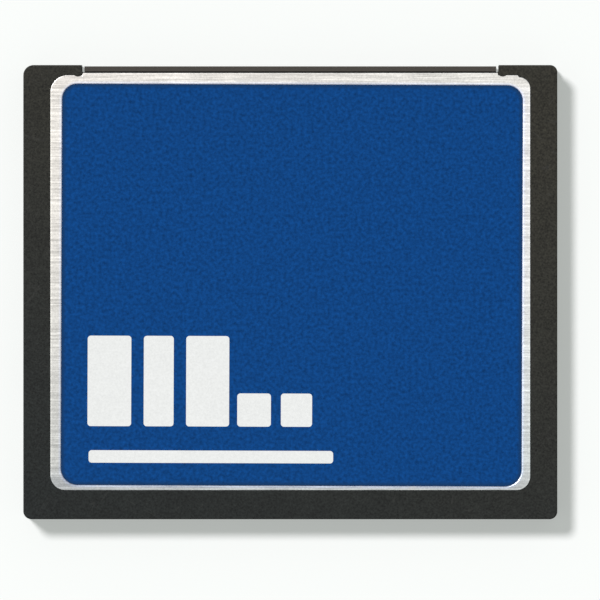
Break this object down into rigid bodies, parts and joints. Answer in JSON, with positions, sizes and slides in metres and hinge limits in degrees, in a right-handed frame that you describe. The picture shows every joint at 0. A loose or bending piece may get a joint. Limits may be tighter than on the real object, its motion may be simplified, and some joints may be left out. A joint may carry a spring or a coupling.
{
  "type": "compact flash card",
  "caption": "Slim flat memory card: moulded frame with side guide slots, stamped steel covers, a label in a shallow recess, a socket connector and a circuit board with its chips.",
  "frame": {"origin": "middle of the card's outline on its underside, where the bottom cover's rim rests", "axes": "+X across the card's width, +Y towards the socket edge, +Z out of the label"},
  "size_m": [0.0428, 0.0364, 0.0033],
  "materials": {
    "frame_plastic": "fine moulded grain",
    "cover_steel": "brushed along the card's width",
    "label_film": "satin printed film",
    "connector_plastic": "satin moulded",
    "contact_gold": "gold plated",
    "board_laminate": "solder-resist coat",
    "chip_resin": "moulded resin",
    "crystal_case": "dull plated metal"
  },
  "bodies": {
    "root": {"frame": "frame_plastic", "top_cover": "cover_steel", "bottom_cover": "cover_steel", "front_label": "label_film", "connector_housing": "connector_plastic", "circuit_board": "board_laminate", "controller_chip": "chip_resin", "flash_chip_top": "chip_resin", "flash_chip_bottom": "chip_resin", "crystal": "crystal_case", "upper_contact_01": "contact_gold", "upper_contact_02": "contact_gold", "upper_contact_03": "contact_gold", "upper_contact_04": "contact_gold", "upper_contact_05": "contact_gold", "upper_contact_06": "contact_gold", "upper_contact_07": "contact_gold", "upper_contact_08": "contact_gold", "upper_contact_09": "contact_gold", "upper_contact_10": "contact_gold", "upper_contact_11": "contact_gold", "upper_contact_12": "contact_gold", "upper_contact_13": "contact_gold", "upper_contact_14": "contact_gold", "upper_contact_15": "contact_gold", "upper_contact_16": "contact_gold", "upper_contact_17": "contact_gold", "upper_contact_18": "contact_gold", "upper_contact_19": "contact_gold", "upper_contact_20": "contact_gold", "upper_contact_21": "contact_gold", "upper_contact_22": "contact_gold", "upper_contact_23": "contact_gold", "upper_contact_24": "contact_gold", "upper_contact_25": "contact_gold", "lower_contact_01": "contact_gold", "lower_contact_02": "contact_gold", "lower_contact_03": "contact_gold", "lower_contact_04": "contact_gold", "lower_contact_05": "contact_gold", "lower_contact_06": "contact_gold", "lower_contact_07": "contact_gold", "lower_contact_08": "contact_gold", "lower_contact_09": "contact_gold", "lower_contact_10": "contact_gold", "lower_contact_11": "contact_gold", "lower_contact_12": "contact_gold", "lower_contact_13": "contact_gold", "lower_contact_14": "contact_gold", "lower_contact_15": "contact_gold", "lower_contact_16": "contact_gold", "lower_contact_17": "contact_gold", "lower_contact_18": "contact_gold", "lower_contact_19": "contact_gold", "lower_contact_20": "contact_gold", "lower_contact_21": "contact_gold", "lower_contact_22": "contact_gold", "lower_contact_23": "contact_gold", "lower_contact_24": "contact_gold", "lower_contact_25": "contact_gold"}
  },
  "joints": []
}
